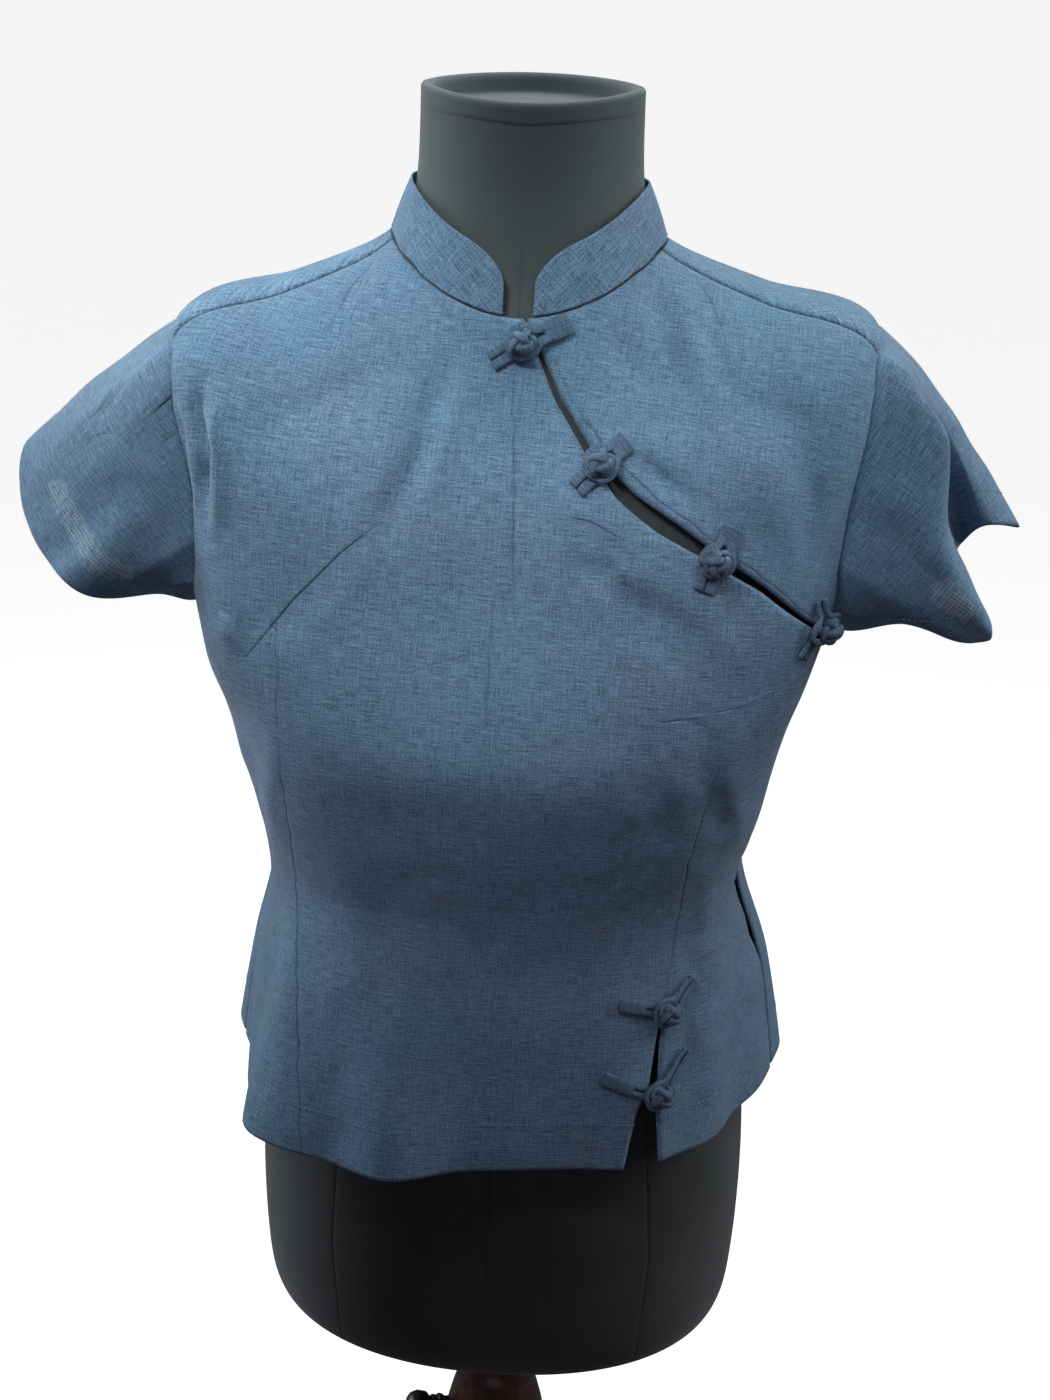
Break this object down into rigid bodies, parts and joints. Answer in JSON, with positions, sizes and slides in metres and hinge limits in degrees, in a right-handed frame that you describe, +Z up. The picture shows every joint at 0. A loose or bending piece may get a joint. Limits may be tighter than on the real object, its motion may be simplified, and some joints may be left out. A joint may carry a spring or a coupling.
{
  "type": "mandarin collar top on a limbless dress form",
  "caption": "Short-sleeved blue cloth top with a mandarin collar and knotted frog fastenings, worn by a black limbless dress form on a turned wooden stand.",
  "frame": {"origin": "middle of the underside of the stand's round base, on the floor", "axes": "+Z up along the post; the wearer's front faces -Y; the wearer's left arm is at +X"},
  "size_m": [0.5748, 0.32, 1.0879],
  "materials": {
    "blue_cloth": "plain-woven slub linen and cotton, soft grey blue, matt",
    "form_cover": "black closely woven cover, matt",
    "stand_wood": "dark brown turned wood, varnished",
    "stand_metal": "dark steel post and clamp screw"
  },
  "bodies": {
    "root": {"front": "blue_cloth", "left_chest": "blue_cloth", "back": "blue_cloth", "sleeve_left": "blue_cloth", "sleeve_right": "blue_cloth", "collar": "blue_cloth", "frog_1_knot": "blue_cloth", "frog_1_loop": "blue_cloth", "frog_2_knot": "blue_cloth", "frog_2_loop": "blue_cloth", "frog_3_knot": "blue_cloth", "frog_3_loop": "blue_cloth", "frog_4_knot": "blue_cloth", "frog_4_loop": "blue_cloth", "frog_5_knot": "blue_cloth", "frog_5_loop": "blue_cloth", "frog_6_knot": "blue_cloth", "frog_6_loop": "blue_cloth", "form_torso": "form_cover", "stand_base": "stand_wood", "stand_neck": "stand_wood", "stand_post": "stand_metal", "clamp_screw": "stand_metal"}
  },
  "joints": []
}
